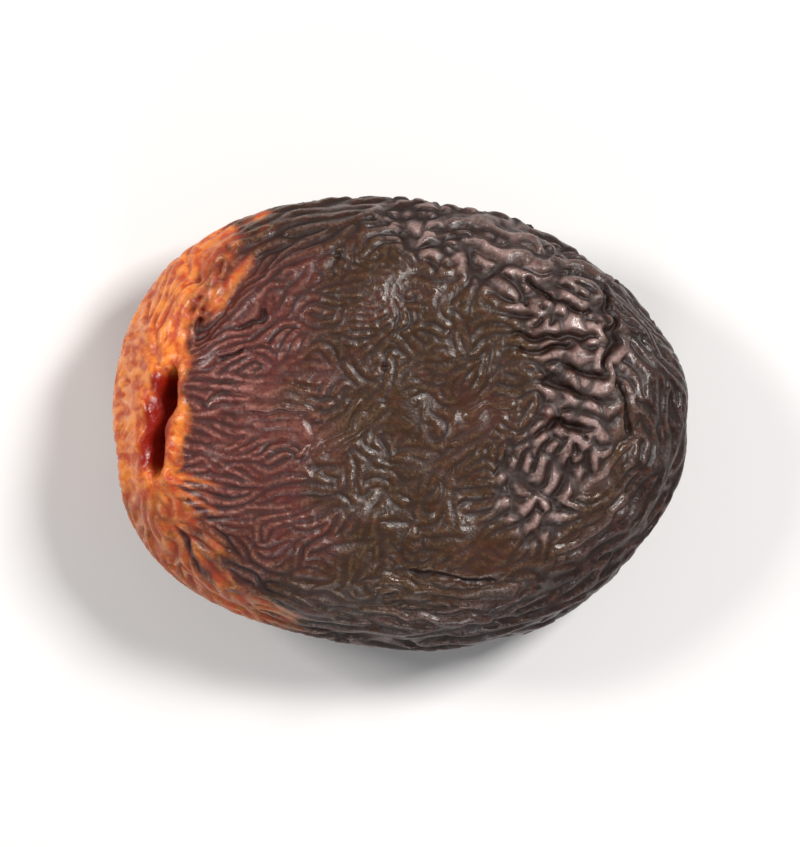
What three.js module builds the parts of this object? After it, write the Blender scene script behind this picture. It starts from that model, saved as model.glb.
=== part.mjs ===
// A whole sun-dried apricot, unsulphured and dark. Its stone was squeezed out through a slit at the stem end,
// and the fruit was pressed flat as it dried: two broad wrinkled faces, a full rounded rim, rolled lips round
// the slit and a crease, the fruit's seam, that runs from the slit's end up over the shoulder.
// Millimetres, +Z up. The fruit lies on its underside, the stem end towards -X and the tip towards +X.
// The origin is under the middle of the fruit, on the surface that it rests on.

import * as THREE from 'three';
import { SimplexNoise } from 'three/addons/math/SimplexNoise.js';
import { mergeVertices } from 'three/addons/utils/BufferGeometryUtils.js';

const { degToRad, smoothstep, lerp } = THREE.MathUtils;

// The whole fruit
const LENGTH = 38;
const WIDTH = 30;
const UPPER_HALF = 6.7; // from the rim's middle up to the top face
const LOWER_HALF = 6.5; // from the rim's middle down to the underside
const FULLNESS = 2.5; // side-on section: 2 is an ellipse, more has flatter faces and a fuller rim
const END_TAPER = 0.06; // the stem end is this share thicker, and the tip this share thinner

// The slit that the stone left by, and the collapsed pocket behind it
const SLIT_RISE = degToRad(38); // how far up the stem-end shoulder the slit sits
const SLIT_TURN = degToRad(-14); // its slant across the shoulder
const SHOULDER_RADIUS = 13.5; // mean bend of the skin round the slit
const POCKET_DIP = degToRad(32); // the pocket runs down towards the fruit's middle
const PUCKERS = 13; // pinched folds round the slit's lips
const PUCKER_HEIGHT = 0.2;
const EDGE_REACH = [0.9, 2.4]; // the edge's unevenness fades between these half widths
const RAGGEDNESS = 0.22; // of the slit's edge, as a share of its half width
const SHRED_REACH = 0.6; // how far the shred of flesh closes the slit, as a share
const SHRED_PLACE = -0.3; // along the slit from its middle
const SHRED_HALF_WIDTH = 0.7;

// The mesh: rings round the slit, from the pocket's bottom out over the fruit to the far end
const SEGMENTS = 90;
const SLIT_RINGS = 17;
const BODY_RINGS = 45;

// The flat spot that the fruit rests on
const FLAT_SPOT_DEPTH = 0.12;

const SEED = 11;
THREE.MathUtils.seededRandom(SEED);
const noise = new SimplexNoise({ random: () => THREE.MathUtils.seededRandom() });

const bell = (distance, width) => Math.exp(-((distance / width) ** 2));

// The fruit's outline seen from above, as a share of its ellipse: blunt at the stem end, and with its
// long axis a little turned. Each row is [waves round the outline, cosine share, sine share].
const OUTLINE = [
  [0, 1.005, 0],
  [1, -0.015, 0.008],
  [2, 0, -0.016],
  [3, 0.009, 0],
  [4, -0.01, 0.011],
  [5, 0.011, 0],
];
const outline = (around) => OUTLINE.reduce(
  (sum, [waves, cosine, sine]) => sum + cosine * Math.cos(waves * around) + sine * Math.sin(waves * around),
  0,
);

// How far the rim waves up and down as it goes round. Each row is [waves, height, start].
const RIM_WAVES = [
  [2, 0.45, 0.6],
  [3, 0.3, 2],
];
const rimWave = (around) =>
  RIM_WAVES.reduce((sum, [waves, height, start]) => sum + height * Math.sin(waves * around + start), 0);

// Large soft swells and hollows, where the flesh dried unevenly, as { x, y, reach, rise } on one face.
const UPPER_SWELLS = [
  { x: 1.5, y: -1.0, reach: 7.5, rise: -1.15 },
  { x: 12.5, y: 3.5, reach: 4.2, rise: 0.5 },
  { x: -5.0, y: 9.5, reach: 4.0, rise: 0.35 },
  { x: -9.0, y: -7.5, reach: 4.5, rise: 0.45 },
  { x: 6.5, y: -9.5, reach: 3.6, rise: 0.4 },
  { x: -9.5, y: 2.0, reach: 3.2, rise: 0.3 },
];
const LOWER_SWELLS = [
  { x: -10.5, y: 5.0, reach: 4.5, rise: -0.7 },
  { x: 10.0, y: -5.5, reach: 4.5, rise: -0.8 },
  { x: 9.0, y: 7.0, reach: 3.6, rise: -0.5 },
  { x: -8.0, y: -8.0, reach: 4.0, rise: -0.6 },
];

const swellHeight = (swells, x, y) =>
  swells.reduce((sum, s) => sum + s.rise * bell(Math.hypot(x - s.x, y - s.y), s.reach), 0);

// The smooth skin, for a direction out of the fruit's middle.
function skinPoint(direction) {
  const around = Math.atan2(direction.y, direction.x);
  const outward = Math.hypot(direction.x, direction.y);
  const fill = (outward ** FULLNESS + Math.abs(direction.z) ** FULLNESS) ** (-1 / FULLNESS);
  const reach = fill * lerp(1, outline(around), outward ** 2);
  const x = 0.5 * LENGTH * direction.x * reach;
  const y = 0.5 * WIDTH * direction.y * reach;
  const half = direction.z > 0 ? UPPER_HALF : LOWER_HALF;
  const swells = direction.z > 0 ? UPPER_SWELLS : LOWER_SWELLS;
  const facing = smoothstep(Math.abs(direction.z), 0.1, 0.8);
  const rise = swellHeight(swells, x, y) * facing * Math.sign(direction.z);
  const taper = 1 - END_TAPER * direction.x;
  const wave = rimWave(around) * outward ** 2;
  return new THREE.Vector3(x, y, half * direction.z * fill * taper + rise + wave);
}

// Directions round the slit: out of its middle, along it, and across it towards the rim.
const slitOut = new THREE.Vector3(-Math.cos(SLIT_RISE), 0, Math.sin(SLIT_RISE));
const sideways = new THREE.Vector3(0, 1, 0);
const slitAlong = sideways.clone().applyAxisAngle(slitOut, SLIT_TURN);
const slitAcross = new THREE.Vector3().crossVectors(slitOut, slitAlong);

// The skin at a distance along and across the slit, measured over the shoulder. Far from the slit the
// direction swings up, so that the last ring closes on the fruit's tip and not under it.
function skinNearSlit(along, across) {
  const angle = Math.hypot(along, across) / SHOULDER_RADIUS;
  const swing = -SLIT_RISE * smoothstep(angle, 0.4, Math.PI);
  const side = new THREE.Vector3()
    .addScaledVector(slitAlong, along)
    .addScaledVector(slitAcross, across)
    .normalize();
  const direction = slitOut.clone().multiplyScalar(Math.cos(angle)).addScaledVector(side, Math.sin(angle));
  return skinPoint(direction.applyAxisAngle(sideways, swing));
}

// Half a cut across the slit, from the bottom of the pocket up to the lip's foot: half width, half length
// and height over the skin.
const slitSection = new THREE.CatmullRomCurve3([
  new THREE.Vector3(0.0, 0.0, -6.0),
  new THREE.Vector3(0.6, 1.2, -5.7),
  new THREE.Vector3(0.95, 2.4, -4.4),
  new THREE.Vector3(0.95, 2.9, -2.6),
  new THREE.Vector3(0.85, 3.0, -1.1),
  new THREE.Vector3(0.85, 3.1, -0.25),
  new THREE.Vector3(1.15, 3.35, 0.36),
  new THREE.Vector3(1.75, 3.75, 0.5),
  new THREE.Vector3(2.7, 4.3, 0.22),
  new THREE.Vector3(3.9, 5.1, 0.0),
]);

// One ring of the mesh, as its half width, half length and height round the slit.
function ringAt(ring) {
  if (ring <= SLIT_RINGS) return slitSection.getPointAt(ring / SLIT_RINGS);
  const foot = slitSection.getPointAt(1);
  const farEnd = Math.PI * SHOULDER_RADIUS;
  const share = (ring - SLIT_RINGS) / BODY_RINGS;
  const halfWidth = lerp(foot.x, farEnd, share);
  const stretch = Math.sqrt(foot.y ** 2 - foot.x ** 2) * (1 - share);
  return new THREE.Vector3(halfWidth, Math.hypot(halfWidth, stretch), 0);
}

const intoPocket = new THREE.Vector3(Math.cos(POCKET_DIP), 0, -Math.sin(POCKET_DIP));
const lipOut = new THREE.Vector3(-0.1, 0, 0.995);
const END_LIP = 0.45; // height of the lips at the slit's ends, as a share
const INNER_LIP_DROP = 0.3; // the lip towards the rim is this much higher, and the inner one lower

// A point of the unwrinkled fruit, by its ring and its angle round the slit.
function formPoint(ring, turn) {
  const { x: halfWidth, y: halfLength, z: height } = ringAt(ring);
  const along = halfLength * Math.cos(turn);
  const nearSlit = 1 - smoothstep(halfWidth, ...EDGE_REACH);
  // A shred of flesh nearly closes the slit near its middle, and the edge is ragged.
  const shred = 1 - SHRED_REACH * bell(along - SHRED_PLACE, SHRED_HALF_WIDTH) * nearSlit;
  const ragged = 1 + RAGGEDNESS * noise.noise3d(along * 0.6, Math.sign(Math.sin(turn)), 4.2) * nearSlit;
  const across = halfWidth * Math.sin(turn) * shred * ragged;
  const point = skinNearSlit(along, across);
  if (height < 0) return point.addScaledVector(intoPocket, -height);
  // The lips get lower towards the slit's two ends, and their puckers fade out there.
  const room = smoothstep(Math.abs(Math.sin(turn)), 0, 0.7);
  const lip = height * lerp(END_LIP, 1 - INNER_LIP_DROP * Math.sin(turn), room);
  const onLip = bell(halfWidth - 1.9, 1.7) * smoothstep(halfWidth, 0.4, 1.2);
  const pucker = PUCKER_HEIGHT * room * onLip * Math.cos(PUCKERS * turn + 1.3 * Math.sin(2 * turn));
  return point.addScaledVector(lipOut, lip + pucker);
}

// The crease over the shoulder, seen from above, from the slit's end to where it fades on the long side.
const creaseLine = new THREE.SplineCurve([
  new THREE.Vector2(-14.9, 3.0),
  new THREE.Vector2(-13.6, 5.5),
  new THREE.Vector2(-11.8, 7.6),
  new THREE.Vector2(-10.0, 9.8),
  new THREE.Vector2(-7.6, 11.8),
  new THREE.Vector2(-4.2, 13.0),
]);
const CREASE_DEPTH = 0.9;
const CREASE_HALF_WIDTH = 0.75;
const creasePoints = creaseLine.getSpacedPoints(60);

// Depth of the crease, with the skin rolled up along its inner side.
function creaseHeight(x, y) {
  let nearest = Infinity;
  let nearestShare = 0;
  creasePoints.forEach((point, index) => {
    const distance = Math.hypot(x - point.x, y - point.y);
    if (distance < nearest) {
      nearest = distance;
      nearestShare = index / (creasePoints.length - 1);
    }
  });
  const fade = smoothstep(nearestShare, 0, 0.12) * (1 - smoothstep(nearestShare, 0.55, 1));
  return fade * (0.3 * bell(nearest - 1.7, 0.9) - CREASE_DEPTH * bell(nearest, CREASE_HALF_WIDTH));
}

// Broad wrinkles of the dried skin: height along the skin's own normal.
const WRINKLE_LENGTH = 5.2; // size of a patch of wrinkles on the faces; its ridges lie about half of it apart
const FACE_WRINKLE = 0.3;
const RIDGE_SLOPE = 2.4;
const RIDGE_ROUNDING = 0.12;
const RIM_WRINKLE = 0.3;
const RIM_WRINKLE_STEP = 3.6; // from one ridge to the next down the rim
const DRIFT_LENGTH = 9; // the rim's ridges wander over this length
const REST_PATCH = 5; // radius of the smoother skin under the middle
function wrinkleHeight(point, normal) {
  const { x, y, z } = point;
  // On the stem-end third the wrinkles run lengthwise, drawn towards the slit.
  const along = (x / WRINKLE_LENGTH) * lerp(0.5, 1, smoothstep(x, -12, 2));
  const patch = noise.noise3d(along, y / WRINKLE_LENGTH, z / WRINKLE_LENGTH);
  const ridge = 1 - RIDGE_SLOPE * Math.hypot(patch, RIDGE_ROUNDING);
  const drift = 3 * noise.noise3d(x / DRIFT_LENGTH + 9, y / DRIFT_LENGTH, z / DRIFT_LENGTH);
  const band = Math.sin((2 * Math.PI * z) / RIM_WRINKLE_STEP + drift);
  const onRim = 1 - smoothstep(Math.abs(normal.z), 0.35, 0.8);
  const underMiddle = z < 0 ? bell(Math.hypot(x, y), REST_PATCH) : 0;
  return lerp(FACE_WRINKLE * ridge, RIM_WRINKLE * band, onRim) * (1 - underMiddle);
}

// The blossom end: a shallow dimple.
const tip = skinPoint(new THREE.Vector3(1, 0, 0));
const TIP_DIMPLE = 0.35;
const TIP_DIMPLE_RADIUS = 1.6;
const tipHeight = (point) => -TIP_DIMPLE * bell(point.distanceTo(tip), TIP_DIMPLE_RADIUS);

function apricotGeometry() {
  const rings = SLIT_RINGS + BODY_RINGS;
  const ball = new THREE.SphereGeometry(1, SEGMENTS, rings);
  const { position, uv } = ball.attributes;
  // 0 in the slit and its pocket, 1 on the outer skin
  const outer = new THREE.BufferAttribute(new Float32Array(position.count), 1);
  for (let i = 0; i < position.count; i++) {
    const ring = Math.round((1 - uv.getY(i)) * rings);
    const turn = (2 * Math.PI * Math.round(uv.getX(i) * SEGMENTS)) / SEGMENTS;
    position.setXYZ(i, ...formPoint(ring, turn));
    outer.setX(i, smoothstep(ring, SLIT_RINGS - 3, SLIT_RINGS + 2));
  }
  ball.deleteAttribute('normal');
  ball.deleteAttribute('uv');
  ball.setAttribute('outer', outer);
  const fruit = mergeVertices(ball, 1e-4);
  fruit.computeVertexNormals();
  addRelief(fruit);
  restOnFlatSpot(fruit);
  return fruit;
}

// Moves the outer skin along its normal.
function addRelief(fruit) {
  const { position, normal, outer } = fruit.attributes;
  const point = new THREE.Vector3();
  const out = new THREE.Vector3();
  for (let i = 0; i < position.count; i++) {
    point.fromBufferAttribute(position, i);
    out.fromBufferAttribute(normal, i);
    const onTop = smoothstep(out.z, -0.1, 0.4);
    const crease = creaseHeight(point.x, point.y) * onTop;
    const height = wrinkleHeight(point, out) + crease + tipHeight(point);
    point.addScaledVector(out, height * outer.getX(i));
    position.setXYZ(i, ...point);
  }
  fruit.deleteAttribute('outer');
}

// The lowest skin is pressed to one flat spot, and the origin comes under the fruit's middle.
function restOnFlatSpot(fruit) {
  const { position } = fruit.attributes;
  const centre = skinPoint(new THREE.Vector3(0, 0, -1));
  const floor = centre.z + FLAT_SPOT_DEPTH;
  for (let i = 0; i < position.count; i++) position.setZ(i, Math.max(position.getZ(i), floor));
  fruit.computeBoundingBox();
  const middle = fruit.boundingBox.getCenter(new THREE.Vector3());
  fruit.translate(-middle.x, -middle.y, -floor);
  fruit.computeVertexNormals();
}

const driedSkin = new THREE.MeshStandardMaterial({ color: 0x5a3a30, roughness: 0.5, metalness: 0 });

const apricot = new THREE.Mesh(apricotGeometry(), driedSkin);
apricot.name = 'apricot';

const driedApricot = new THREE.Group();
driedApricot.add(apricot);

export default driedApricot;
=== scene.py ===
import math

import bpy
import numpy as np
from mathutils import Matrix, Vector


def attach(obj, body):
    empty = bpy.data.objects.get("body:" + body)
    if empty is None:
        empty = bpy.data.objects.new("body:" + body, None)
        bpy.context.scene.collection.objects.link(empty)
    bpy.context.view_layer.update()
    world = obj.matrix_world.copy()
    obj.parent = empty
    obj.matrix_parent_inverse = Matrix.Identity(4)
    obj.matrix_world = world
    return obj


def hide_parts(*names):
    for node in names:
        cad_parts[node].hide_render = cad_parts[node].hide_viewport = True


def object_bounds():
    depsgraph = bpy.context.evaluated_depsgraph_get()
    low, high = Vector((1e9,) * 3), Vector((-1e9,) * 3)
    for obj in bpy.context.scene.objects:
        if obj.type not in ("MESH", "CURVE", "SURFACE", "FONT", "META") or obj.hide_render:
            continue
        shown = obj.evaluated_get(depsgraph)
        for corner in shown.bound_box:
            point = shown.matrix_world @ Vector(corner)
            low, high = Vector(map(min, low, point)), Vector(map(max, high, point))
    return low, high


# The looks of a whole sun-dried apricot: its wrinkled brown skin, the orange lips round the slit that the
# stone left by, and the slit's dark red inside.
# The skin is worked in millimetres and brought to metres at the end. Names ending in _M are in metres.
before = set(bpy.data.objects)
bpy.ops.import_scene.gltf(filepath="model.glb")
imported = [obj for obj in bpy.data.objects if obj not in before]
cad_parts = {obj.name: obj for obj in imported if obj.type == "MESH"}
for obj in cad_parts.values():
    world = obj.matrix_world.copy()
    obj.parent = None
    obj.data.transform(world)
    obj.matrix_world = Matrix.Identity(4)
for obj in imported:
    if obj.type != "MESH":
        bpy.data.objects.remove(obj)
CAD_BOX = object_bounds()
MM = 0.001

# Camera, straight above the fruit as in the photograph, but nearer to it
AIM_M = Vector((0.0, 0.0, 0.006))
CAMERA_DISTANCE_M = 0.5
CAMERA_ELEVATION = math.radians(88)
VIEW_WIDTH_M = 0.053
SENSOR_WIDTH = 36.0
CLIP_START_M = 0.01


def add_camera():
    back = Vector((0, -math.cos(CAMERA_ELEVATION), math.sin(CAMERA_ELEVATION)))
    bpy.ops.object.camera_add(location=AIM_M + CAMERA_DISTANCE_M * back)
    camera = bpy.context.active_object
    camera.rotation_euler = (-back).to_track_quat("-Z", "Y").to_euler()
    camera.data.sensor_fit = "HORIZONTAL"
    camera.data.sensor_width = SENSOR_WIDTH
    camera.data.lens = SENSOR_WIDTH * CAMERA_DISTANCE_M / VIEW_WIDTH_M
    camera.data.clip_start = CLIP_START_M
    bpy.context.scene.camera = camera


# Soft studio light: name, place and width in metres, watts, colour
LIGHTS = [
    ("key_light", (0.25, 0.15, 0.35), 0.12, 2.0, (1.0, 0.98, 0.96)),
    ("stem_end_light", (-0.32, 0.12, 0.30), 0.12, 1.1, (1.0, 0.97, 0.94)),
    ("low_light", (0.02, -0.36, 0.22), 0.12, 0.4, (0.96, 0.98, 1.0)),
]
SKY_COLOUR = (0.95, 0.96, 1.0, 1.0)
SKY_STRENGTH = 0.20


def add_lights():
    for name, place, width, watts, colour in LIGHTS:
        bpy.ops.object.light_add(type="AREA", location=place)
        light = bpy.context.active_object
        light.name = name
        light.rotation_euler = (AIM_M - Vector(place)).to_track_quat("-Z", "Y").to_euler()
        light.data.size = width
        light.data.energy = watts
        light.data.color = colour
    world = bpy.data.worlds.new("studio")
    world.use_nodes = True
    background = world.node_tree.nodes["Background"]
    background.inputs["Color"].default_value = SKY_COLOUR
    background.inputs["Strength"].default_value = SKY_STRENGTH
    bpy.context.scene.world = world
    bpy.context.scene.view_settings.view_transform = "Standard"


# A pale matt table
FLOOR_WIDTH_M = 3.0
FLOOR_COLOUR = (0.80, 0.79, 0.78, 1.0)
FLOOR_ROUGHNESS = 0.6


def add_floor():
    bpy.ops.mesh.primitive_plane_add(size=FLOOR_WIDTH_M, location=(0, 0, 0))
    floor = bpy.context.active_object
    floor.name = "table"
    material = bpy.data.materials.new("table_paint")
    material.use_nodes = True
    paint = material.node_tree.nodes["Principled BSDF"]
    paint.inputs["Base Color"].default_value = FLOOR_COLOUR
    paint.inputs["Roughness"].default_value = FLOOR_ROUGHNESS
    floor.data.materials.append(material)


# Helpers for distances and masks over the skin's points, which are rows of x, y and z
NOISE_WAVES = 26
NOISE_STRETCH = (0.45, 1.15)  # between these shares of the mean rate lies each wave's own
TINY = 1e-9  # keeps a division from being by nothing


def smoothstep(values, low, high):
    share = np.clip((values - low) / (high - low), 0, 1)
    return share * share * (3 - 2 * share)


def fades(distance, full, gone):
    """1 up to the distance full, and 0 from the distance gone."""
    return 1 - smoothstep(distance, full, gone)


def bell(distance, width):
    return np.exp(-((distance / width) ** 2))


def blend(low, high, share):
    return low + (high - low) * share


def soft_noise(points, length, seed):
    """Smooth random values over points, mostly from -1 to 1, with swells of about that length."""
    rng = np.random.default_rng(seed)
    waves = rng.normal(size=(NOISE_WAVES, 3))
    waves /= np.linalg.norm(waves, axis=1, keepdims=True)
    waves *= 2 * math.pi / length * rng.uniform(*NOISE_STRETCH, (NOISE_WAVES, 1))
    starts = rng.uniform(0, 2 * math.pi, NOISE_WAVES)
    return np.cos(points @ waves.T + starts).sum(axis=1) / math.sqrt(NOISE_WAVES)


def soft_vectors(points, length, seed):
    return np.stack([soft_noise(points, length, seed + axis) for axis in range(3)], axis=1)


def unit(vectors):
    return vectors / np.maximum(np.linalg.norm(vectors, axis=1, keepdims=True), TINY)


def row_dots(first, second):
    return np.einsum("ij,ij->i", first, second)


def turned_towards(guide, vectors):
    """The vectors, with those turned round that point against their row of the guide."""
    return vectors * np.where(row_dots(vectors, guide) < 0, -1, 1)[:, None]


def along_skin(vectors, normals):
    return vectors - normals * row_dots(vectors, normals)[:, None]


def level(flat_vectors):
    """Rows of x and y with z = 0 beside them."""
    return np.c_[flat_vectors, np.zeros(len(flat_vectors))]


def nearest_on_lines(points, lines):
    """For each point, seen from above: its nearest line's distance, direction, foot point and number."""
    best = np.full(len(points), np.inf)
    direction = np.zeros((len(points), 2))
    foot = np.zeros((len(points), 2))
    number = np.zeros(len(points), int)
    flat = points[:, :2]
    for index, line in enumerate(lines):
        for start, end in zip(line[:-1], line[1:]):
            start = np.array(start)
            step = np.array(end) - start
            share = np.clip((flat - start) @ step / (step @ step), 0, 1)
            on_line = start + share[:, None] * step
            distance = np.linalg.norm(flat - on_line, axis=1)
            nearer = distance < best
            best[nearer] = distance[nearer]
            direction[nearer] = step / np.linalg.norm(step)
            foot[nearer] = on_line[nearer]
            number[nearer] = index
    return best, direction, foot, number


def line_distance(points, line):
    return nearest_on_lines(points, [line])[0]


def outside(points, corners):
    """Whether each point lies outside a polygon, seen from above."""
    x, y = points[:, 0], points[:, 1]
    is_inside = np.zeros(len(points), bool)
    for (x0, y0), (x1, y1) in zip(corners, corners[1:] + corners[:1]):
        crossed = (y0 > y) != (y1 > y)
        is_inside ^= crossed & (x < x0 + (y - y0) * (x1 - x0) / (y1 - y0 + TINY))
    return ~is_inside


# The fruit's places, seen from above, with its stem end at -x
HALF_LENGTH = 19.0
HALF_WIDTH = 15.0
RIM_HEIGHT = 6.6
RIM_BAND = 1.5  # the upper face passes into the underside within this height above and below the rim
RIM_REACH = (0.74, 0.92)  # where the rim starts and is full, as shares of the half length and half width
TIP_SIDE = (-8.0, 8.0)
SLIT_MIDDLE = np.array([-15.9, 0.0, 11.1])
SLIT_ALONG = np.array([0.16, 0.986, 0.04])
SLIT_HALF_LENGTH = 3.2
SLIT_END = 0.4
POCKET_AXIS = [(-15.9, 11.1), (-15.2, 10.4), (-11.0, 7.7)]  # down the slit's pocket, as points (x, z)
POCKET_WALL = (0.75, 1.2)  # from the pocket's axis: red up to the first, orange from the second
POCKET_WANDER = 0.12
FLAT_SPOT = (-0.8, -0.4)
FLAT_REACH = (3.0, 6.5)
FLAT_HEIGHT = 1.5

# How far the slit's neighbourhood, the stem end's ridges and the red of the face reach from the slit
NEAR_SLIT = (1.2, 3.0)
STEM_END = (3.0, 11.5)
RED_FACE = (3.0, 15.0)
RED_WANDER = 1.5

# The middle of the glossy lobes, which lie in an arc before the tip
LOBES_ARC = [(1.5, 13.6), (6.5, 11.6), (10.6, 8.4), (12.2, 4.0), (11.6, -0.5), (9.0, -5.0)]
LOBES_BAND = (1.6, 3.8)
LOBES_WANDER = 0.4

# The seam where the orange flesh ends: down the crease, past the slit and over the lower shoulder
SEAM = [
    (-4.0, 16.5), (-5.5, 13.2), (-7.7, 12.0), (-9.2, 10.8), (-10.6, 9.2), (-12.2, 7.3), (-13.3, 5.9),
    (-13.9, 4.2), (-14.0, 2.6), (-13.6, 0.5), (-13.8, -1.6), (-14.5, -3.0), (-13.4, -3.9), (-12.2, -5.4),
    (-12.5, -7.4), (-10.8, -9.4), (-8.9, -11.2), (-7.0, -13.2), (-5.5, -16.5),
]
BEYOND_STEM = [(-5.5, -20.0), (-25.0, -20.0), (-25.0, 20.0), (-4.0, 20.0)]
CREASE = [(-14.5, 3.4), (-13.6, 5.5), (-11.8, 7.6), (-9.9, 9.6), (-7.9, 11.3)]
CREASE_WIDTH = 0.3
BRUISE = [(-11.6, 11.0), (-12.4, 9.2), (-13.2, 6.6)]
BRUISE_WIDTH = 1.3
BRUISE_DEPTH = 0.6
BRUISE_UNEVENNESS = 0.4

# The edge of the orange flesh: sharp beside the slit, and soft and streaky far from it
FAR_BELOW_SLIT = (1.5, 5.0)
FAR_TOWARDS_TIP = (-11.5, -8.0)
EDGE_BAND = (-0.6, 0.8)
EDGE_SOFTNESS = (1.0, 1.8)  # near the slit and far from it, as for the streaks
EDGE_STREAKS = (0.1, 0.9)
STREAK_FINENESS = 9
SEAM_WANDER = 0.35
SEAM_LEAN = 0.7  # how far towards the stem end the edge leans for each millimetre below the rim
ORANGE_END = (-9.2, -4.2)  # where it ends towards the tip, along x
END_SLANT = 0.25
END_STREAKS = 1.5
END_LEAN = 0.5
LOWER_SHOULDER = (2.5, 6.0)
LOWER_SHARE = 0.51
ORANGE_HEIGHT = (1.5, 5.0)  # gone at the first height and full at the second

# Random swells in the edges of the places: their length in millimetres and their seed
RED_SWELLS = (3.5, 16)
POCKET_SWELLS = (1.3, 11)
LOBES_SWELLS = (2.0, 15)
SEAM_SWELLS = (2.2, 13)
STREAK_SWELLS = (1.0, 17)
BRUISE_SWELLS = (1.2, 19)

# Ridges that stand out on the upper face, each as points (x, y)
RIDGES = [
    [(3.3, 13.2), (4.9, 13.6), (6.9, 12.7), (8.2, 12.4), (9.1, 11.9)],
    [(5.0, 11.9), (5.9, 11.4), (7.4, 11.3), (8.7, 10.8)],
    [(9.1, 10.3), (10.2, 10.9), (11.7, 10.6), (13.0, 10.3), (13.7, 9.6)],
    [(-5.7, -1.9), (-4.2, -0.4), (-2.7, 1.0)],
    [(-4.8, -1.9), (-3.0, -0.4), (-1.3, 0.6)],
    [(-10.4, 1.9), (-8.2, 2.1), (-6.3, 1.9)],
    [(-10.2, 0.6), (-8.1, 0.8), (-6.2, 0.6)],
    [(-9.6, -0.6), (-7.6, -0.5), (-6.0, -0.7)],
    [(-2.5, -12.4), (0.6, -12.7), (3.2, -13.3), (5.4, -13.2)],
    [(-1.0, -10.6), (2.2, -11.2), (5.0, -11.6), (7.6, -11.0)],
    [(4.6, 0.3), (5.6, 1.0), (6.8, 1.0)],
    [(12.4, -4.4), (13.8, -3.2), (14.8, -1.6)],
    [(10.6, -8.6), (12.8, -7.2), (14.6, -5.4)],
]
# Cracks between the lobes before the tip, along the lower rim and beside the crease
CRACKS = [
    [(7.7, 5.6), (9.5, 5.5), (10.6, 5.5), (12.2, 5.7)],
    [(7.9, 4.5), (9.8, 4.7), (11.1, 5.1)],
    [(13.5, 8.6), (13.9, 7.0), (14.1, 5.2), (13.5, 3.6)],
    [(8.6, 9.2), (9.8, 8.2), (11.9, 7.2), (13.0, 7.7)],
    [(10.5, 3.8), (11.7, 3.2), (13.0, 3.0)],
    [(9.8, 2.5), (11.1, 2.2), (11.9, 1.4), (13.0, 1.0)],
    [(9.8, -0.3), (10.6, -0.1), (11.6, -0.4)],
    [(14.6, 2.5), (15.0, 1.0), (14.9, -0.4)],
    [(1.0, -10.1), (2.9, -10.4), (5.3, -10.8), (6.1, -10.5)],
    [(-10.7, 6.1), (-10.0, 6.1), (-9.3, 6.6), (-9.1, 7.3)],
    [(-11.5, 4.1), (-11.1, 4.5), (-10.6, 4.5)],
]
# Small pits in the upper lip and the face, as (x, y, radius)
PITS = [
    (-4.1, 10.8, 0.25), (-1.1, 3.4, 0.20), (-13.5, 9.4, 0.36), (-12.0, 10.1, 0.34), (-11.3, 11.3, 0.28),
    (-11.6, 9.1, 0.34), (-13.2, 8.2, 0.28), (-13.5, 7.2, 0.30), (-12.8, 7.2, 0.26), (-13.2, 6.3, 0.28),
]


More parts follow.
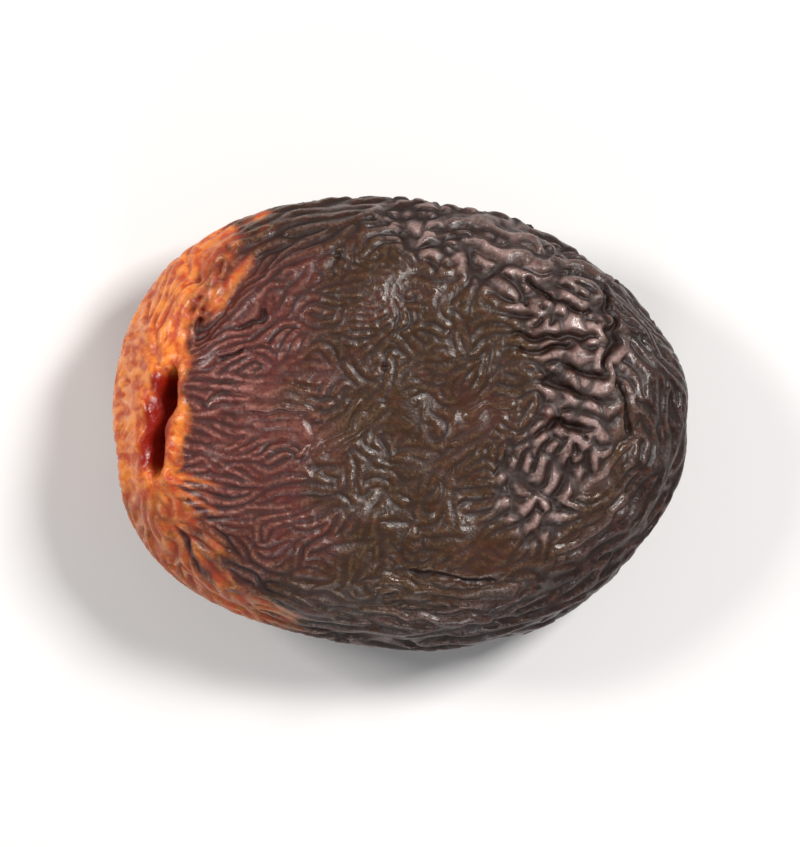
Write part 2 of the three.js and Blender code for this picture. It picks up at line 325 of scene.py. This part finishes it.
class Places:
    """Masks from 0 to 1 over the skin's points, which say what part of the fruit each point is on."""

    def __init__(self, points):
        x, y, z = points.T
        reach = np.hypot(x / HALF_LENGTH, y / HALF_WIDTH)
        self.top = smoothstep(z, RIM_HEIGHT - RIM_BAND, RIM_HEIGHT + RIM_BAND)
        self.rim = smoothstep(reach, *RIM_REACH)
        self.tip_side = smoothstep(x, *TIP_SIDE)
        self.mark_slit(points)
        off_arc = line_distance(points, LOBES_ARC) + LOBES_WANDER * soft_noise(points, *LOBES_SWELLS)
        self.lobes = fades(off_arc, *LOBES_BAND) * self.top
        self.rest = fades(np.hypot(x - FLAT_SPOT[0], y - FLAT_SPOT[1]), *FLAT_REACH) * (z < FLAT_HEIGHT)
        self.mark_flesh(points)
        self.crease = bell(line_distance(points, CREASE), CREASE_WIDTH) * self.top

    def mark_slit(self, points):
        from_middle = points - SLIT_MIDDLE
        along_slit = from_middle @ SLIT_ALONG
        nearest = np.clip(along_slit, -SLIT_HALF_LENGTH, SLIT_HALF_LENGTH)[:, None] * SLIT_ALONG
        past_slit = from_middle - nearest
        distance = np.linalg.norm(past_slit, axis=1)
        self.from_slit = unit(past_slit)
        self.near_slit = fades(distance, *NEAR_SLIT)
        self.stem = fades(distance, *STEM_END) * self.top
        self.red = fades(distance + RED_WANDER * soft_noise(points, *RED_SWELLS), *RED_FACE)
        within_slit = fades(np.abs(along_slit), SLIT_HALF_LENGTH - SLIT_END, SLIT_HALF_LENGTH + SLIT_END)
        cut = points - along_slit[:, None] * SLIT_ALONG
        off_axis = line_distance(cut[:, [0, 2]], POCKET_AXIS)
        off_axis += POCKET_WANDER * soft_noise(points, *POCKET_SWELLS)
        self.inside = fades(off_axis, *POCKET_WALL) * within_slit

    def mark_flesh(self, points):
        """The orange flesh, whole as flesh, and less its bruise as lip."""
        x, y, z = points.T
        below_rim = np.maximum(0, RIM_HEIGHT - z)
        strayed = points + SEAM_WANDER * soft_vectors(points, *SEAM_SWELLS)
        strayed[:, 0] += SEAM_LEAN * below_rim
        side = np.where(outside(strayed, SEAM + BEYOND_STEM), -1, 1)
        far = np.maximum(smoothstep(-y, *FAR_BELOW_SLIT), smoothstep(x, *FAR_TOWARDS_TIP))
        streaks = soft_noise(STREAK_FINENESS * self.from_slit, *STREAK_SWELLS)
        within = line_distance(strayed, SEAM) * side + streaks * blend(*EDGE_STREAKS, far)
        flesh = smoothstep(within / blend(*EDGE_SOFTNESS, far), *EDGE_BAND)
        flesh *= fades(x + END_SLANT * y + END_STREAKS * streaks + END_LEAN * below_rim, *ORANGE_END)
        flesh *= blend(1.0, LOWER_SHARE, smoothstep(-y, *LOWER_SHOULDER))
        bruise = bell(line_distance(points, BRUISE), BRUISE_WIDTH)
        bruise *= 1 + BRUISE_UNEVENNESS * soft_noise(points, *BRUISE_SWELLS)
        self.flesh = flesh
        self.lip = flesh * (1 - BRUISE_DEPTH * np.clip(bruise, 0, 1))


# The skin's mesh
MERGE_DISTANCE = 0.001
VOXEL = 0.145
SMOOTHING = 0.5
SMOOTHING_ROUNDS = 3
FLAT_SPOT_TOP = 0.15
SHARE_KEPT = 0.58


def apply_modifier(piece, kind, **settings):
    modifier = piece.modifiers.new(kind.lower(), kind)
    for setting, value in settings.items():
        setattr(modifier, setting, value)
    bpy.ops.object.modifier_apply(modifier=modifier.name)


def skin_mesh():
    """An even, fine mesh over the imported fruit, in millimetres, as a new object."""
    bpy.ops.object.select_all(action="DESELECT")
    skin = bpy.data.objects.new("dried_skin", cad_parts["apricot"].data.copy())
    bpy.context.scene.collection.objects.link(skin)
    skin.select_set(True)
    bpy.context.view_layer.objects.active = skin
    skin.data.transform(Matrix.Scale(1 / MM, 4))
    bpy.ops.object.mode_set(mode="EDIT")
    bpy.ops.mesh.select_all(action="SELECT")
    bpy.ops.mesh.remove_doubles(threshold=MERGE_DISTANCE)
    bpy.ops.mesh.tris_convert_to_quads()
    bpy.ops.object.mode_set(mode="OBJECT")
    apply_modifier(skin, "SUBSURF", levels=1, render_levels=1)
    apply_modifier(skin, "REMESH", mode="VOXEL", voxel_size=VOXEL)
    apply_modifier(skin, "SMOOTH", factor=SMOOTHING, iterations=SMOOTHING_ROUNDS)
    bpy.ops.object.shade_smooth()
    return skin


def thin_out(skin):
    """Fewer faces where the skin bends least. The flat spot is left as it is, so that it stays flat."""
    points = np.empty(len(skin.data.vertices) * 3)
    skin.data.vertices.foreach_get("co", points)
    above = np.flatnonzero(points[2::3] > FLAT_SPOT_TOP * MM)
    group = skin.vertex_groups.new(name="above_flat_spot")
    group.add(above.tolist(), 1.0, "REPLACE")
    apply_modifier(skin, "DECIMATE", ratio=SHARE_KEPT, vertex_group=group.name, vertex_group_factor=1.0)
    skin.vertex_groups.clear()


def skin_arrays(mesh):
    """The mesh's points, their normals, and its edges both ways round, sorted by their first point."""
    points = np.empty(len(mesh.vertices) * 3)
    normals = np.empty(len(mesh.vertices) * 3)
    edges = np.empty(len(mesh.edges) * 2, int)
    mesh.vertices.foreach_get("co", points)
    mesh.vertex_normals.foreach_get("vector", normals)
    mesh.edges.foreach_get("vertices", edges)
    edges = edges.reshape(-1, 2)
    both = np.concatenate([edges, edges[:, ::-1]])
    both = both[np.lexsort((both[:, 1], both[:, 0]))]
    return points.reshape(-1, 3), normals.reshape(-1, 3), both


class Neighbours:
    """The pairs of points that an edge joins, and sums over each point's neighbours."""

    def __init__(self, count, both):
        self.to, self.of = both.T
        self.starts = np.searchsorted(self.to, np.arange(count))
        self.number = np.diff(np.append(self.starts, len(self.to)))

    def total(self, values):
        return np.add.reduceat(values, self.starts)


# The wrinkles: how far apart and how deep they are on each part of the fruit, in millimetres
MIDDLE_SPACING, MIDDLE_DEPTH = 0.68, 0.125
STEM_SPACING, STEM_DEPTH = 0.64, 0.15
RIM_SPACING, RIM_DEPTH = 0.88, 0.19
LOBES_SPACING, LOBES_DEPTH = 1.25, 0.32
UNDERSIDE_SPACING, UNDERSIDE_DEPTH = 1.45, 0.26
SPACING_UNEVENNESS = 0.12
DEPTH_UNEVENNESS = 0.35

# Which way the ridges run: with the middle's own grain, round the rim, away from the slit, along the folds
MIDDLE_GRAIN = np.array([0.75, 0.45, 0.0])
RIM_PULL = 2.2
STEM_PULL = 1.7
FOLD_PULL_WIDTH = 0.9
FOLD_WANDER = 0.22
ON_FOLD = 0.3  # points nearer to a named fold than this take their place on their ridge from it
ON_TOP = 0.5

# How the ridges are joined up from point to point, and the finer ones that cross them
START_LENGTH = 0.8
OWN_WEIGHT = 0.5
AGREEMENT = (0.5, 0.9)  # a ridge fades out where fewer of a point's neighbours agree
MAIN_ROUNDS = 130
CROSS_ROUNDS = 90
CROSS_TURN = 0.6
CROSS_SPACING = 1.35

# How much flatter the wrinkles are by the slit, in its pocket, on the flesh, in patches and on named ridges
SLIT_CALM = 0.5
POCKET_CALM = 0.7
FLESH_CALM = 0.3
PATCH_CALM = 0.35
PATCH_SPAN = (-0.2, 1.0)
RIDGE_CALM = 0.6

# The section of the wrinkles, as powers of a wave, and the sizes of the named folds in millimetres
SHARP_VALLEY = 2.4
ROUND_VALLEY = 1.5
SHARP_CREST = 5.0
ROUND_CREST = 3.0
CROSS_SHARE = 0.65
CROSS_RIM_LOSS = 0.5
CROSS_STEM_LOSS = 0.3
CROSS_SHARE_ON_LOBES = 0.95
CRACK_WIDTH = 0.17
CRACK_DEPTH = 0.34
CRACK_UNEVENNESS = 0.4
PIT_DEPTH = 0.42
PIT_RAGGEDNESS = 0.16
RIDGE_REACH = (0.15, 0.9)
BESIDE_RIDGE = (0.1, 0.45)
BESIDE_RIDGE_DEPTH = 0.22

# Random swells in the wrinkles: their length in millimetres and their seed
GRAIN_SWELLS = (2.6, 20)
FOLD_SWELLS = (1.5, 70)
SPACING_SWELLS = (6.0, 31)
DEPTH_SWELLS = (4.0, 37)
PATCH_SWELLS = (1.7, 39)
CROSS_SWELLS = (2.5, 50)
CRACK_SWELLS = (1.2, 71)
PIT_SWELLS = (0.8, 75)
MAIN_SEED = 41
CROSS_SEED = 61

# How strongly the finish paints shade into the crease, the hollows beside a ridge and the wrinkles of each
# depth, paints a highlight onto the named ridges, and keeps the rim's brown and shade at the stem end
CREASE_PAINTED_SHADE = 0.5
BESIDE_RIDGE_PAINTED_SHADE = 0.6
FULL_SHADE_DEPTH = 0.2
SHADE_SPAN = (0.3, 1.5)
RIDGE_HIGHLIGHT = 0.7
STEM_RIM_SHARE = 0.35


def wrinkles(points, neighbours, across, spacing, locked, rounds, seed):
    """Ridges at right angles to across, that far apart: 1 on a ridge's crest and -1 in a valley.
    Each point's place on its ridge is an angle, which it takes from its neighbours, turned by the distance
    between them. From a random start the ridges join up, and they end and fork where they can't. A point
    whose locked angle is a number keeps it."""
    to, of = neighbours.to, neighbours.of
    wave = across * (2 * math.pi / spacing)[:, None]
    same_way = row_dots(wave[to], wave[of]) >= 0
    mean_wave = 0.5 * (wave[to] + np.where(same_way, 1, -1)[:, None] * wave[of])
    turn = np.exp(1j * row_dots(mean_wave, points[to] - points[of]))
    held = ~np.isnan(locked)
    start = 2 * math.pi * soft_noise(points, START_LENGTH, seed)
    ridge = np.exp(1j * np.where(held, locked, start))
    for _ in range(rounds):
        brought = ridge[of]
        brought = np.where(same_way, brought, brought.conj()) * turn
        total = neighbours.total(brought) + OWN_WEIGHT * neighbours.number * ridge
        ridge = np.where(held, ridge, total / np.maximum(np.abs(total), TINY))
    agreement = np.abs(total) / neighbours.number / (1 + OWN_WEIGHT)
    return ridge.real * smoothstep(agreement, *AGREEMENT)


class Folds:
    """The nearest named ridge or crack of each point: its distance, its way, and whether it is a crack."""

    def __init__(self, points):
        strayed = points + FOLD_WANDER * soft_vectors(points, *FOLD_SWELLS)
        self.distance, way, foot, number = nearest_on_lines(strayed, RIDGES + CRACKS)
        self.way = level(way)
        self.offset = level(strayed[:, :2] - foot)
        self.is_crack = number >= len(RIDGES)


def face_grain(points, place):
    """The way that ridges run apart from the named folds: round the rim, away from the slit, or with the
    middle's grain."""
    x, y, _ = points.T
    around = turned_towards(place.from_slit, unit(level(np.c_[-y / HALF_WIDTH**2, x / HALF_LENGTH**2])))
    wander = turned_towards(place.from_slit, soft_vectors(points, *GRAIN_SWELLS) + MIDDLE_GRAIN)
    rim_pull = RIM_PULL * place.rim * (1 - place.stem)
    stem_pull = STEM_PULL * place.stem
    return wander + rim_pull[:, None] * around + stem_pull[:, None] * place.from_slit


def across_ridges(grain, normals, place, folds):
    fold_pull = (bell(folds.distance, FOLD_PULL_WIDTH) * place.top)[:, None]
    along = unit(grain) * (1 - fold_pull) + turned_towards(grain, folds.way) * fold_pull
    return unit(np.cross(normals, unit(along_skin(along, normals))))


def ridge_spacing(points, place):
    spacing = blend(MIDDLE_SPACING, STEM_SPACING, place.stem)
    spacing = blend(spacing, RIM_SPACING, place.rim)
    spacing = blend(UNDERSIDE_SPACING, spacing, place.top)
    spacing = blend(spacing, LOBES_SPACING, place.lobes)
    return spacing * (1 + SPACING_UNEVENNESS * soft_noise(points, *SPACING_SWELLS))


def ridge_depth(points, place):
    depth = blend(MIDDLE_DEPTH, STEM_DEPTH, place.stem)
    depth = blend(depth, RIM_DEPTH, place.rim)
    depth = blend(depth, LOBES_DEPTH, place.lobes)
    depth = blend(UNDERSIDE_DEPTH, depth, place.top)
    return depth * (1 + DEPTH_UNEVENNESS * soft_noise(points, *DEPTH_SWELLS))


def wrinkle_strength(points, place):
    strength = (1 - place.rest) * (1 - SLIT_CALM * place.near_slit) * (1 - POCKET_CALM * place.inside)
    strength *= 1 - FLESH_CALM * place.flesh
    patches = smoothstep(soft_noise(points, *PATCH_SWELLS), *PATCH_SPAN)
    return strength * (1 - PATCH_CALM * patches * (1 - place.lobes))


def main_and_cross_waves(points, normals, across, spacing, place, folds, neighbours):
    on_fold = (folds.distance < ON_FOLD) & (place.top > ON_TOP)
    phase = 2 * math.pi / spacing * row_dots(across, folds.offset) + math.pi * folds.is_crack
    locked = np.where(on_fold, phase, np.nan)
    main = wrinkles(points, neighbours, across, spacing, locked, MAIN_ROUNDS, MAIN_SEED)
    turned = unit(np.cross(normals, across) + CROSS_TURN * soft_vectors(points, *CROSS_SWELLS))
    turned = unit(along_skin(turned, normals))
    free = np.full(len(points), np.nan)
    cross = wrinkles(points, neighbours, turned, spacing * CROSS_SPACING, free, CROSS_ROUNDS, CROSS_SEED)
    return main, cross


def wave_valleys(main, cross, place):
    """From 0 on the waves' crests to 1 at the bottom of their valleys, which are narrow on the lobes."""
    main_valley = (0.5 - 0.5 * main) ** blend(ROUND_VALLEY, SHARP_VALLEY, place.lobes)
    cross_valley = (0.5 - 0.5 * cross) ** SHARP_VALLEY
    cross_share = CROSS_SHARE * (1 - CROSS_RIM_LOSS * place.rim) * (1 - CROSS_STEM_LOSS * place.stem)
    cross_share = blend(cross_share, CROSS_SHARE_ON_LOBES, place.lobes)
    return np.maximum(main_valley, cross_share * cross_valley)


def pits(points, place):
    ragged = points + PIT_RAGGEDNESS * soft_vectors(points, *PIT_SWELLS)
    bottom = np.zeros(len(points))
    for x, y, radius in PITS:
        distance = np.hypot(ragged[:, 0] - x, ragged[:, 1] - y)
        bottom = np.maximum(bottom, bell(distance, radius) * place.top)
    return bottom


def add_relief(skin):
    """Moves the skin's points into its wrinkles, and keeps the masks that the finish reads."""
    points, normals, both = skin_arrays(skin.data)
    neighbours = Neighbours(len(points), both)
    place = Places(points)
    grain = face_grain(points, place)
    folds = Folds(points)
    across = across_ridges(grain, normals, place, folds)
    spacing = ridge_spacing(points, place)
    depth = ridge_depth(points, place)
    strength = wrinkle_strength(points, place)
    main, cross = main_and_cross_waves(points, normals, across, spacing, place, folds, neighbours)
    valley = wave_valleys(main, cross, place)
    crack_width = CRACK_WIDTH * (1 + CRACK_UNEVENNESS * soft_noise(points, *CRACK_SWELLS))
    crack = bell(folds.distance, crack_width) * folds.is_crack * place.top
    pit = pits(points, place)
    ridge = np.where(folds.is_crack, 0, place.top * fades(folds.distance, *RIDGE_REACH))
    beside_ridge = ridge * smoothstep(folds.distance, *BESIDE_RIDGE)

    drop = depth * valley * strength * (1 - RIDGE_CALM * ridge)
    drop = drop + CRACK_DEPTH * crack + PIT_DEPTH * pit + BESIDE_RIDGE_DEPTH * beside_ridge
    move_to(skin, points - normals * drop[:, None])

    # Painted shade: the valleys of the wrinkles, the cracks, the crease, the hollows beside a ridge and the
    # pits are darkened in colour, and kept as the valley mask
    valley_shade = valley * strength * np.clip(depth / FULL_SHADE_DEPTH, *SHADE_SPAN) ** 0.5
    hollow_shades = [crack, CREASE_PAINTED_SHADE * place.crease, BESIDE_RIDGE_PAINTED_SHADE * beside_ridge]
    painted_shade = np.clip(np.maximum.reduce([valley_shade * (1 - ridge), *hollow_shades]) + pit, 0, 1)
    # Painted highlight: the crests of the waves and the named ridges are lightened in colour, and kept as
    # the crest mask
    wave_crest = (0.5 + 0.5 * main) ** blend(SHARP_CREST, ROUND_CREST, place.lobes) * strength
    # The rim and the underside, off the orange flesh: partly the rim's own darker brown and partly painted
    # shade where the sides turn from the light, less of it towards the stem end
    rim_brown_and_shade = np.maximum(place.rim, 1 - place.top) * (1 - place.flesh)
    store(skin.data, "valley", painted_shade)
    store(skin.data, "crest", np.maximum(wave_crest, RIDGE_HIGHLIGHT * ridge * (1 - beside_ridge)))
    store(skin.data, "orange", place.lip * smoothstep(points[:, 2], *ORANGE_HEIGHT))
    store(skin.data, "inside", place.inside)
    store(skin.data, "tip_end", place.lobes)
    store(skin.data, "rim", rim_brown_and_shade * blend(STEM_RIM_SHARE, 1.0, place.tip_side))
    store(skin.data, "stem_end", place.red)


def move_to(skin, points):
    """Moves the skin to these points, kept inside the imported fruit's box, and brings it to metres."""
    low, high = (np.array(corner) / MM for corner in CAD_BOX)
    skin.data.vertices.foreach_set("co", (np.clip(points, low, high) * MM).ravel())
    skin.data.update()


def store(mesh, name, values):
    attribute = mesh.attributes.new(name, "FLOAT", "POINT")
    attribute.data.foreach_set("value", np.ascontiguousarray(values, dtype=np.float32))


# The finish, with colours as the sRGB values that are read off the fruit in daylight. Some of them are
# painted light and shade, as marked: the valley shade, the rim's shade and the crest highlights
def srgb(red, green, blue):
    linear = [((c / 255 + 0.055) / 1.055) ** 2.4 if c > 10 else c / 255 / 12.92 for c in (red, green, blue)]
    return (*linear, 1.0)


OLIVE_BROWN = srgb(54, 34, 20)
RED_BROWN = srgb(82, 35, 31)
# Partly the rim's own darker brown and partly painted shade, on the rim and the underside
RIM_BROWN_AND_SHADE = srgb(24, 12, 10)
TIP_BROWN = srgb(50, 31, 27)
RUST = srgb(92, 46, 22)
MAUVE = srgb(66, 40, 36)
# Painted shade for the valleys and hollows, and also the real dark spots of the mottle
DARK_SPOT_AND_VALLEY_SHADE_BROWN = srgb(30, 14, 9)
BRIGHT_ORANGE = srgb(236, 136, 56)
DEEP_ORANGE = srgb(184, 70, 30)
# Painted shade for the valleys and pits of the orange flesh
LIP_VALLEY_SHADE = srgb(124, 40, 18)
# Painted highlights on the crests: grey, pink, tan and orange
GREY_CREST_HIGHLIGHT = srgb(152, 126, 120)
PINK_CREST_HIGHLIGHT = srgb(172, 114, 104)
TAN_CREST_HIGHLIGHT = srgb(112, 88, 66)
ORANGE_CREST_HIGHLIGHT = srgb(240, 166, 92)
SLIT_RED = srgb(138, 26, 12)

# Patterns: swells per millimetre, detail, roughness
BLOTCHES = (0.22, 4.0, 0.55)
PATCHES = (0.6, 4.0, 0.6)
MOTTLE = (1.1, 4.0, 0.6)
FLECKS = (1.5, 3.0, 0.6)
SPECKS = (4.5, 3.0, 0.6)
FINE_CREASES = (1.2, 3.0, 0.5)
FINE_CREASES_DISTORTION = 0.5

# How a pattern or mask shows: between its first two values, from the third share to the fourth
RED_SHOWS = (0.80, 1.45, 0.0, 1.0)
RUST_SHOWS = (0.50, 0.72, 0.0, 0.4)
MAUVE_SHOWS = (0.50, 0.72, 0.0, 0.5)
DARK_SPOTS_SHOW = (0.45, 0.75, 0.0, 0.5)
DEEP_ORANGE_SHOWS = (0.36, 0.62, 0.0, 1.0)
ORANGE_SHOWS = (0.75, 1.55, 0.0, 1.0)
# Where the painted shade of the valleys shows, red on the orange flesh
RED_VALLEY_SHADE_SHOWS = (0.05, 0.5, 0.0, 1.0)
VALLEY_SHADE_SHOWS = (0.2, 1.0, 0.0, 0.8)
# Where the painted highlights on the crests show
GREY_HIGHLIGHT_SHOWS = (0.1, 0.7, 0.0, 1.0)
CREST_HIGHLIGHT_SHOWS = (0.35, 0.65, 0.15, 0.6)
TIP_CREST_HIGHLIGHT_SHOWS = (0.35, 0.6, 0.2, 0.8)
STEM_CREST_HIGHLIGHT_SHOWS = (0.42, 0.60, 0.0, 0.5)
RIM_CREST_HIGHLIGHT_SHOWS = (0.3, 1.0, 1.0, 0.45)
SKIN_ROUGHNESS = (0.35, 0.65, 0.20, 0.34)

# Weights in the sums of patterns
STEM_REDNESS = 0.8
MOTTLE_REDNESS = 0.8
TIP_BROWNNESS = 0.7
RIM_BROWN_AND_SHADE_SHARE = 0.85
MOTTLE_IN_ORANGE = 0.9
FLECKS_IN_ORANGE = 0.4
# How much less painted shade the valleys get on the orange flesh
ORANGE_LIGHTENS_VALLEY_SHADE = 0.35
VALLEY_ROUGHNESS = 0.3
CREST_POLISH = 0.06
BUMP_CREASES = 0.5
BUMP_SPECKS = 0.5

SUBSURFACE_WEIGHT = 0.08
SUBSURFACE_RADIUS = (1.0, 0.35, 0.15)
SUBSURFACE_SCALE_M = 0.0012
SPECULAR_LEVEL = 0.38
BUMP_STRENGTH = 0.7
BUMP_DISTANCE_M = 0.0001

# The numbers of a mix's sockets for colours
MIX_SHARE = 0
MIX_FIRST = 6
MIX_SECOND = 7
MIX_RESULT = 2


class Finish:
    """A material's nodes, with patterns in millimetres on the piece's own coordinates."""

    def __init__(self, name):
        self.material = bpy.data.materials.new(name)
        self.material.use_nodes = True
        self.tree = self.material.node_tree
        self.shader = self.tree.nodes["Principled BSDF"]
        coordinates = self.tree.nodes.new("ShaderNodeTexCoord")
        scale = self.tree.nodes.new("ShaderNodeMapping")
        scale.inputs["Scale"].default_value = (1 / MM, 1 / MM, 1 / MM)
        self.feed(coordinates.outputs["Object"], scale.inputs["Vector"])
        self.place = scale.outputs["Vector"]

    def feed(self, value, socket):
        if isinstance(value, (int, float, tuple)):
            socket.default_value = value
        else:
            self.tree.links.new(value, socket)

    def mask(self, name):
        node = self.tree.nodes.new("ShaderNodeAttribute")
        node.attribute_name = name
        return node.outputs["Fac"]

    def pattern(self, per_mm, detail, roughness, kind="FBM", distortion=0.0):
        node = self.tree.nodes.new("ShaderNodeTexNoise")
        node.noise_type = kind
        self.feed(self.place, node.inputs["Vector"])
        node.inputs["Scale"].default_value = per_mm
        node.inputs["Detail"].default_value = detail
        node.inputs["Roughness"].default_value = roughness
        node.inputs["Distortion"].default_value = distortion
        return node.outputs["Fac"]

    def calculate(self, operation, first, second):
        node = self.tree.nodes.new("ShaderNodeMath")
        node.operation = operation
        self.feed(first, node.inputs[0])
        self.feed(second, node.inputs[1])
        return node.outputs["Value"]

    def plus(self, first, second):
        return self.calculate("ADD", first, second)

    def minus(self, first, second):
        return self.calculate("SUBTRACT", first, second)

    def times(self, first, second):
        return self.calculate("MULTIPLY", first, second)

    def shown(self, value, span):
        node = self.tree.nodes.new("ShaderNodeMapRange")
        node.interpolation_type = "SMOOTHSTEP"
        self.feed(value, node.inputs["Value"])
        for socket, number in zip(("From Min", "From Max", "To Min", "To Max"), span):
            node.inputs[socket].default_value = number
        return node.outputs["Result"]

    def mix(self, share, first, second):
        node = self.tree.nodes.new("ShaderNodeMix")
        node.data_type = "RGBA"
        self.feed(share, node.inputs[MIX_SHARE])
        self.feed(first, node.inputs[MIX_FIRST])
        self.feed(second, node.inputs[MIX_SECOND])
        return node.outputs[MIX_RESULT]


def brown_skin(finish, masks, patterns):
    redness = finish.plus(finish.times(masks["stem_end"], STEM_REDNESS), patterns["blotches"])
    redness = finish.plus(redness, finish.times(patterns["mottle"], MOTTLE_REDNESS))
    brown = finish.mix(finish.shown(redness, RED_SHOWS), OLIVE_BROWN, RED_BROWN)
    brown = finish.mix(finish.times(masks["tip_end"], TIP_BROWNNESS), brown, TIP_BROWN)
    # Partly the rim's own darker brown and partly painted shade, on the rim and underside that the rim mask
    # carries
    brown = finish.mix(finish.times(masks["rim"], RIM_BROWN_AND_SHADE_SHARE), brown, RIM_BROWN_AND_SHADE)
    brown = finish.mix(finish.shown(patterns["flecks"], RUST_SHOWS), brown, RUST)
    brown = finish.mix(finish.shown(patterns["patches"], MAUVE_SHOWS), brown, MAUVE)
    return finish.mix(finish.shown(patterns["mottle"], DARK_SPOTS_SHOW), brown, DARK_SPOT_AND_VALLEY_SHADE_BROWN)


def with_orange_flesh(finish, masks, patterns, brown):
    warm = finish.mix(finish.shown(patterns["mottle"], DEEP_ORANGE_SHOWS), BRIGHT_ORANGE, DEEP_ORANGE)
    edge = finish.plus(masks["orange"], finish.times(patterns["mottle"], MOTTLE_IN_ORANGE))
    edge = finish.plus(edge, finish.times(patterns["flecks"], FLECKS_IN_ORANGE))
    return finish.mix(finish.shown(edge, ORANGE_SHOWS), brown, warm)


# Painted highlight: lightens the crests of the wrinkles and the named ridges, grey on the tip and rim, pink
# by the stem end, tan in the middle and orange on the flesh, and less on the rim
def with_painted_crest_highlights(finish, masks, patterns, colour):
    tip_and_rim = finish.plus(masks["tip_end"], masks["rim"])
    highlight = finish.mix(masks["stem_end"], TAN_CREST_HIGHLIGHT, PINK_CREST_HIGHLIGHT)
    highlight = finish.mix(finish.shown(tip_and_rim, GREY_HIGHLIGHT_SHOWS), highlight, GREY_CREST_HIGHLIGHT)
    highlight = finish.mix(masks["orange"], highlight, ORANGE_CREST_HIGHLIGHT)
    at_tip = finish.times(masks["tip_end"], finish.shown(patterns["patches"], TIP_CREST_HIGHLIGHT_SHOWS))
    at_stem = finish.times(masks["stem_end"], finish.shown(patterns["flecks"], STEM_CREST_HIGHLIGHT_SHOWS))
    highlight_share = finish.plus(finish.shown(patterns["specks"], CREST_HIGHLIGHT_SHOWS), at_tip)
    highlight_share = finish.plus(highlight_share, at_stem)
    highlight_share = finish.times(highlight_share, finish.shown(masks["rim"], RIM_CREST_HIGHLIGHT_SHOWS))
    return finish.mix(finish.times(masks["crest"], highlight_share), colour, highlight)


# Painted shade: darkens the valleys, cracks, crease, ridge hollows and pits, in red on the orange flesh
def with_painted_valley_shade(finish, masks, colour):
    painted_shade = finish.mix(finish.shown(masks["orange"], RED_VALLEY_SHADE_SHOWS), DARK_SPOT_AND_VALLEY_SHADE_BROWN, LIP_VALLEY_SHADE)
    share = finish.minus(masks["valley"], finish.times(masks["orange"], ORANGE_LIGHTENS_VALLEY_SHADE))
    return finish.mix(finish.shown(share, VALLEY_SHADE_SHOWS), colour, painted_shade)


def skin_finish():
    finish = Finish("dried_apricot_skin")
    names = ("valley", "crest", "orange", "inside", "tip_end", "rim", "stem_end")
    masks = {name: finish.mask(name) for name in names}
    patterns = {
        "blotches": finish.pattern(*BLOTCHES),
        "patches": finish.pattern(*PATCHES),
        "mottle": finish.pattern(*MOTTLE),
        "flecks": finish.pattern(*FLECKS),
        "specks": finish.pattern(*SPECKS),
    }
    colour = brown_skin(finish, masks, patterns)
    colour = with_orange_flesh(finish, masks, patterns, colour)
    # Painted highlights on the crests, then painted shade in the valleys, cracks, crease and pits
    colour = with_painted_crest_highlights(finish, masks, patterns, colour)
    colour = with_painted_valley_shade(finish, masks, colour)
    colour = finish.mix(masks["inside"], colour, SLIT_RED)
    rough = finish.shown(patterns["mottle"], SKIN_ROUGHNESS)
    rough = finish.plus(rough, finish.times(masks["valley"], VALLEY_ROUGHNESS))
    rough = finish.minus(rough, finish.times(masks["crest"], CREST_POLISH))

    creases = finish.pattern(*FINE_CREASES, "RIDGED_MULTIFRACTAL", FINE_CREASES_DISTORTION)
    bump = finish.tree.nodes.new("ShaderNodeBump")
    bump.inputs["Strength"].default_value = BUMP_STRENGTH
    bump.inputs["Distance"].default_value = BUMP_DISTANCE_M
    fine = finish.plus(finish.times(creases, BUMP_CREASES), finish.times(patterns["specks"], BUMP_SPECKS))
    finish.feed(fine, bump.inputs["Height"])

    inputs = finish.shader.inputs
    finish.feed(colour, inputs["Base Color"])
    finish.feed(rough, inputs["Roughness"])
    finish.feed(bump.outputs["Normal"], inputs["Normal"])
    inputs["Subsurface Weight"].default_value = SUBSURFACE_WEIGHT
    inputs["Subsurface Radius"].default_value = SUBSURFACE_RADIUS
    inputs["Subsurface Scale"].default_value = SUBSURFACE_SCALE_M
    inputs["Specular IOR Level"].default_value = SPECULAR_LEVEL
    return finish.material


def add_fruit():
    skin = skin_mesh()
    add_relief(skin)
    thin_out(skin)
    skin.data.materials.clear()
    skin.data.materials.append(skin_finish())
    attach(skin, "root")
    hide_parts("apricot")


add_camera()
add_lights()
add_floor()
add_fruit()
